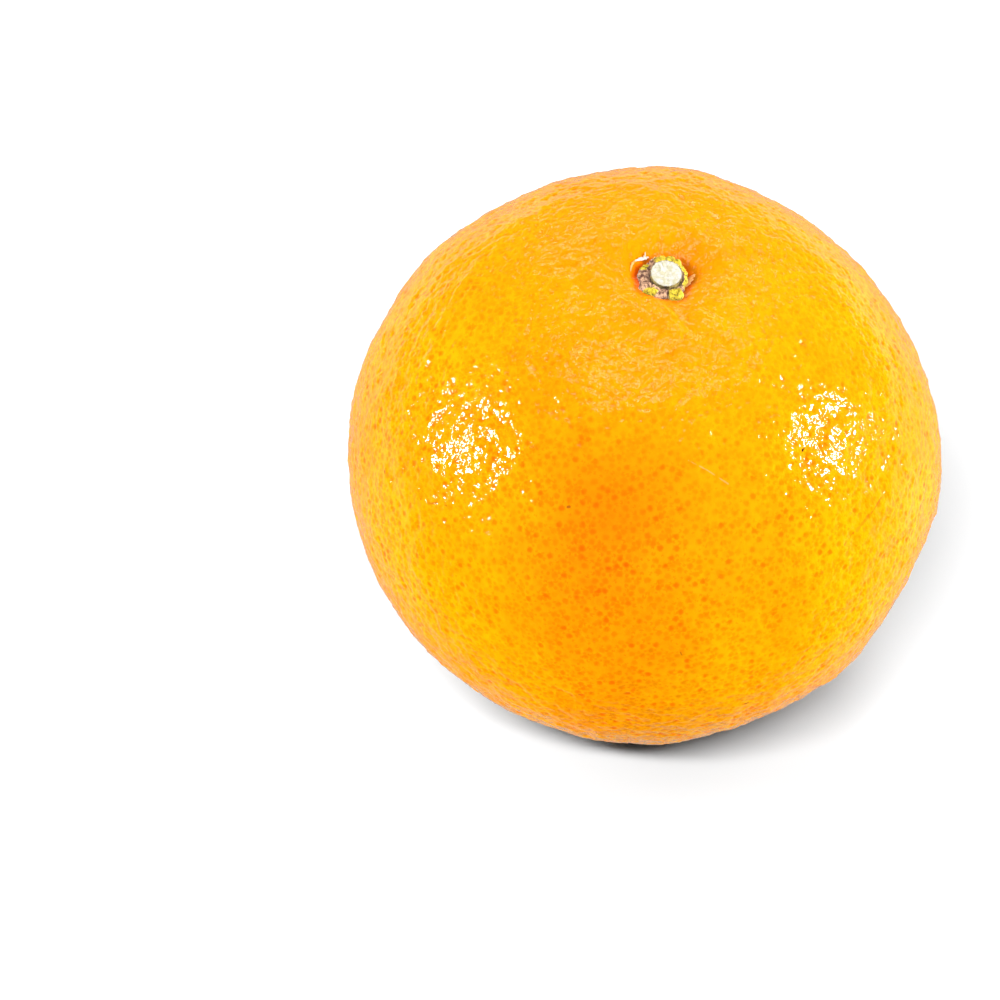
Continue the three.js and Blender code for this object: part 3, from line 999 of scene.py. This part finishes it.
def make_stem(material):
    rng = np.random.default_rng(STEM["seed"])
    longitude = np.linspace(0, 2 * math.pi, STEM["steps"], endpoint=False)[:, None]
    # Each line of points climbs the side and then runs in over the cut face.
    side = np.linspace(0, 1, STEM["side_rows"])
    top = np.linspace(1, 0, STEM["top_rows"] + 3)[1:-2]
    share = np.concatenate([1 - STEM["waist"] * np.sin(math.pi * side), top])[None, :]
    rise = np.concatenate([side, np.ones_like(top)])[None, :]
    on_top = np.concatenate([np.zeros_like(side), np.ones_like(top)])[None, :]
    near_rim = np.clip((rise - WORN["from"]) / (1 - WORN["from"]), 0, 1)
    worn = WORN["amount"] * near_rim ** 2 * (on_top == 0)
    flute = STEM["flute_depth"] * np.sin(STEM["flutes"] * longitude) * share ** STEM["flute_fade"]
    off = (share - worn) * (STEM["radius"] - STEM["flute_depth"] + flute)

    # It rises from the rind to a cut that slants, and leans to one side.
    base = rind_height(off, longitude + 0 * off) - STEM["sunk"]
    uphill = off * np.cos(longitude - math.radians(CUT["high_side"]))
    cut_height = STEM["top"] + uphill * math.tan(math.radians(CUT["slant"]))
    z = base + (cut_height - base) * rise
    lean_side = math.radians(CUT["lean_side"])
    lean_x, lean_y = CUT["lean"] * math.cos(lean_side), CUT["lean"] * math.sin(lean_side)
    x = off * np.cos(longitude) + lean_x * rise
    y = off * np.sin(longitude) + lean_y * rise
    points = np.stack([x, y, z], -1)

    # The cut face has a dent in its pith, fine rays round it, and a rough grain.
    pith = CUT["pith"] * bell(off, CUT["pith_radius"])
    wander = RAYS["wander"] * np.sin(off * RAYS["wander_rate"])
    rays = RAYS["height"] * np.sin(RAYS["count"] * longitude + wander)
    rays = rays * np.clip(off - RAYS["from"], 0, 1)
    rough = layered_waves(points.reshape(-1, 3), CUT_ROUGH, rng).reshape(off.shape)
    points[..., 2] += on_top * (rays + rough - pith)
    grid = points.reshape(-1, 3)
    tip = [lean_x, lean_y, STEM["top"] - CUT["pith"]]
    foot = [0, 0, rind_height(np.zeros(1), np.zeros(1))[0] - STEM["sunk"]]
    faces = stem_faces(len(grid), share.shape[1])
    piece = make_object("orange_stem", np.vstack([grid, tip, foot]), faces, material)

    # 1 on the cut wood, falling to 0 in the thin bark round it.
    wood = np.clip((STEM["radius"] - off - BARK["width"]) / BARK["fade"], 0, 1) * on_top
    tell(piece.data, "cut", np.concatenate([wood.reshape(-1), [1.0, 0.0]]))
    return piece


# ---- Floor, lights and camera ----------------------------------------

# The floor's sides, and how far the lamps are from the fruit, in metres
FLOOR_SIZE = 12.0
LIGHT_DISTANCE = 2.4


def make_floor():
    bpy.ops.mesh.primitive_plane_add(size=FLOOR_SIZE)
    floor = bpy.context.object
    floor.name = "floor"
    floor.data.materials.append(floor_material())
    # In the gloss, the floor is the one among the surroundings below.
    floor.visible_glossy = False
    return floor


def softbox(name, azimuth, elevation, size, radiance, gloss):
    """A softbox that faces the fruit. Azimuth 0 is the camera's side and 90 the right."""
    light = bpy.data.lights.new(name, "AREA")
    light.shape = "RECTANGLE"
    light.size, light.size_y = (2 * LIGHT_DISTANCE * math.tan(math.radians(half)) for half in size)
    light.energy = radiance * math.pi * light.size * light.size_y
    lamp = bpy.data.objects.new(name, light)
    bpy.context.collection.objects.link(lamp)
    target = Vector((0, 0, REST_HEIGHT * MM))
    around, up = math.radians(azimuth), math.radians(elevation)
    aim = Vector((math.sin(around) * math.cos(up), -math.cos(around) * math.cos(up), math.sin(up)))
    lamp.location = target + aim * LIGHT_DISTANCE
    lamp.rotation_euler = aim.to_track_quat("Z", "Y").to_euler()
    lamp.visible_camera = False
    lamp.visible_glossy = gloss
    # Without this, the floor's stray rays would find the lamps through the fruit.
    light.cycles.use_multiple_importance_sampling = gloss
    return lamp


# (name, azimuth, elevation, half width and half height in degrees, radiance) of each lamp: the two that
# show in the gloss of the fruit, the others that light it, and those that light the floor
WIDE = (14, 14)
GLOSSY_LIGHTS = [
    ("softbox_left", -81.5, 22.7, (5.2, 6.6), 52),
    ("softbox_right", 88.6, 18.3, (4.4, 5.5), 72),
]
FRUIT_LIGHTS = [
    ("right_fill", 90, 11, WIDE, 16.4),
    ("front_left", -40, 12, WIDE, 7.8),
    ("front_left_low", -60, -5, WIDE, 1.7),
    ("front", 0, 12, WIDE, 3.6),
    ("front_below", 0, -30, WIDE, 1.8),
    ("back_left", -120, 40, WIDE, 3.9),
    ("back_left_low", -150, 12, (14, 10), 11.2),
    ("right_high", 90, 40, WIDE, 1.0),
    ("back_right", 120, 65, WIDE, 2.3),
    ("back", 180, 10, WIDE, 7.5),
    ("overhead", 0, 88, WIDE, 3.4),
]
FLOOR_LIGHTS = [
    ("floor_key", -9, 58.5, (18, 2), 90.0),
    ("floor_back", -172, 20, WIDE, 14.0),
    ("floor_left", -84, 45, WIDE, 3.2),
    ("floor_right", 108, 45, WIDE, 2.5),
]
# What else shows in gloss, by where a ray goes (x right, y back, z up). Each fade has an axis, where it
# starts and ends, and its levels; the fades of a part are multiplied, and the parts are added.
SURROUNDINGS = [
    # The lit floor round the fruit, brightest behind it.
    [("Y", -0.30, 0.45, 0.0, 1.0), ("Z", -0.22, -0.05, 0.42, 0.0)],
    [("Y", 0.45, 0.80, 0.0, 0.30), ("Z", -0.35, -0.25, 0.0, 1.0), ("Z", -0.05, 0.03, 1.0, 0.0)],
    # A long panel high behind it.
    [("X", -0.45, -0.25, 0.0, 1.0), ("X", 0.35, 0.55, 1.0, 0.0), ("Y", 0.20, 0.40, 0.0, 1.0),
     ("Z", 0.48, 0.52, 0.0, 4.2), ("Z", 0.56, 0.60, 1.0, 0.0)],
    # A panel overhead, and its wings, which bend back.
    [("Z", 0.0, 0.2, 0.0, 5.2), ("Y", -0.06, -0.02, 0.0, 1.0), ("Y", 0.06, 0.10, 1.0, 0.0),
     ("X", -0.24, -0.14, 0.0, 1.0), ("X", 0.14, 0.24, 1.0, 0.0)],
    [("Z", 0.0, 0.2, 0.0, 3.4), ("Y", 0.07, 0.12, 0.0, 1.0), ("Y", 0.22, 0.28, 1.0, 0.0),
     ("X", -0.44, -0.34, 0.0, 1.0), ("X", -0.24, -0.14, 1.0, 0.0)],
    [("Z", 0.0, 0.2, 0.0, 3.0), ("Y", 0.12, 0.18, 0.0, 1.0), ("Y", 0.26, 0.32, 1.0, 0.0),
     ("X", 0.14, 0.24, 0.0, 1.0), ("X", 0.46, 0.56, 1.0, 0.0)],
    # The dim room.
    [("Z", -0.15, 0.15, 0.0, 0.04)],
]


def make_lights(floor, pieces):
    """The lamps, each of which lights only the fruit or only the floor."""
    for lights, things, gloss in (
        (GLOSSY_LIGHTS, pieces, True),
        (FRUIT_LIGHTS, pieces, False),
        (FLOOR_LIGHTS, [floor], False),
    ):
        for light in lights:
            lamp = softbox(*light, gloss)
            lit = bpy.data.collections.new(f"lit by {lamp.name}")
            for thing in things:
                lit.objects.link(thing)
            lamp.light_linking.receiver_collection = lit


def surroundings_level(s):
    """How bright the surroundings are along a ray."""
    axes = s.tree.nodes.new("ShaderNodeSeparateXYZ")
    s.join(s.add("ShaderNodeTexCoord", output="Generated"), axes.inputs[0])
    total = None
    for part in SURROUNDINGS:
        level = None
        for axis, *fade in part:
            faded = s.ramp(axes.outputs[axis], *fade)
            level = faded if level is None else s.math("MULTIPLY", level, faded)
        total = level if total is None else s.math("ADD", total, level)
    return total


def make_surroundings():
    """The world: the surroundings in the gloss, and plain white where the camera looks past all."""
    world = bpy.data.worlds.new("studio")
    bpy.context.scene.world = world
    world.cycles_visibility.diffuse = False
    s = Nodes(world)
    room = {"Color": WHITE, "Strength": surroundings_level(s)}
    shown = s.add(
        "ShaderNodeMixShader",
        {
            0: s.add("ShaderNodeLightPath", output="Is Camera Ray"),
            1: s.add("ShaderNodeBackground", room),
            2: s.add("ShaderNodeBackground", {"Color": WHITE}),
        },
    )
    s.join(shown, s.tree.nodes["World Output"].inputs["Surface"])


def make_camera():
    """The fruit's middle falls on its own pixel because the camera is turned, not shifted."""
    up = math.radians(CAMERA_ELEVATION)
    right = Vector((1, 0, 0))
    over = Vector((0, math.sin(up), math.cos(up)))
    back = Vector((0, -math.cos(up), math.sin(up)))
    facing = Matrix((right, over, back)).transposed().to_quaternion()
    across = FRUIT_AT_PIXEL[0] - IMAGE_PIXELS / 2
    above = IMAGE_PIXELS / 2 - FRUIT_AT_PIXEL[1]
    aside = Vector((0, 0, -1)).rotation_difference(Vector((across, above, -FOCAL_PIXELS)))
    data = bpy.data.cameras.new("camera")
    data.sensor_width = SENSOR
    data.lens = FOCAL_PIXELS * SENSOR / IMAGE_PIXELS
    camera = bpy.data.objects.new("camera", data)
    bpy.context.collection.objects.link(camera)
    camera.location = (Vector((0, 0, REST_HEIGHT)) + back * CAMERA_DISTANCE) * MM
    camera.rotation_mode = "QUATERNION"
    camera.rotation_quaternion = facing @ aside.inverted()
    bpy.context.scene.camera = camera


# ---- The scene -------------------------------------------------------

make_camera()
floor = make_floor()
make_surroundings()

scene = bpy.context.scene
scene.view_settings.view_transform = "Standard"
scene.view_settings.look = "None"

pieces = []
for make, make_material, node, slot in (
    (make_rind, rind_material, "fruit", "rind"),
    (make_calyx, calyx_material, "calyx", "calyx"),
    (make_stem, stem_material, "stem", "stem"),
):
    piece = make(make_material())
    # The floor in the photograph has no orange light from the fruit on it.
    piece.visible_diffuse = False
    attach(piece, "root")
    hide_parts(node)
    pieces.append(piece)
make_lights(floor, pieces)
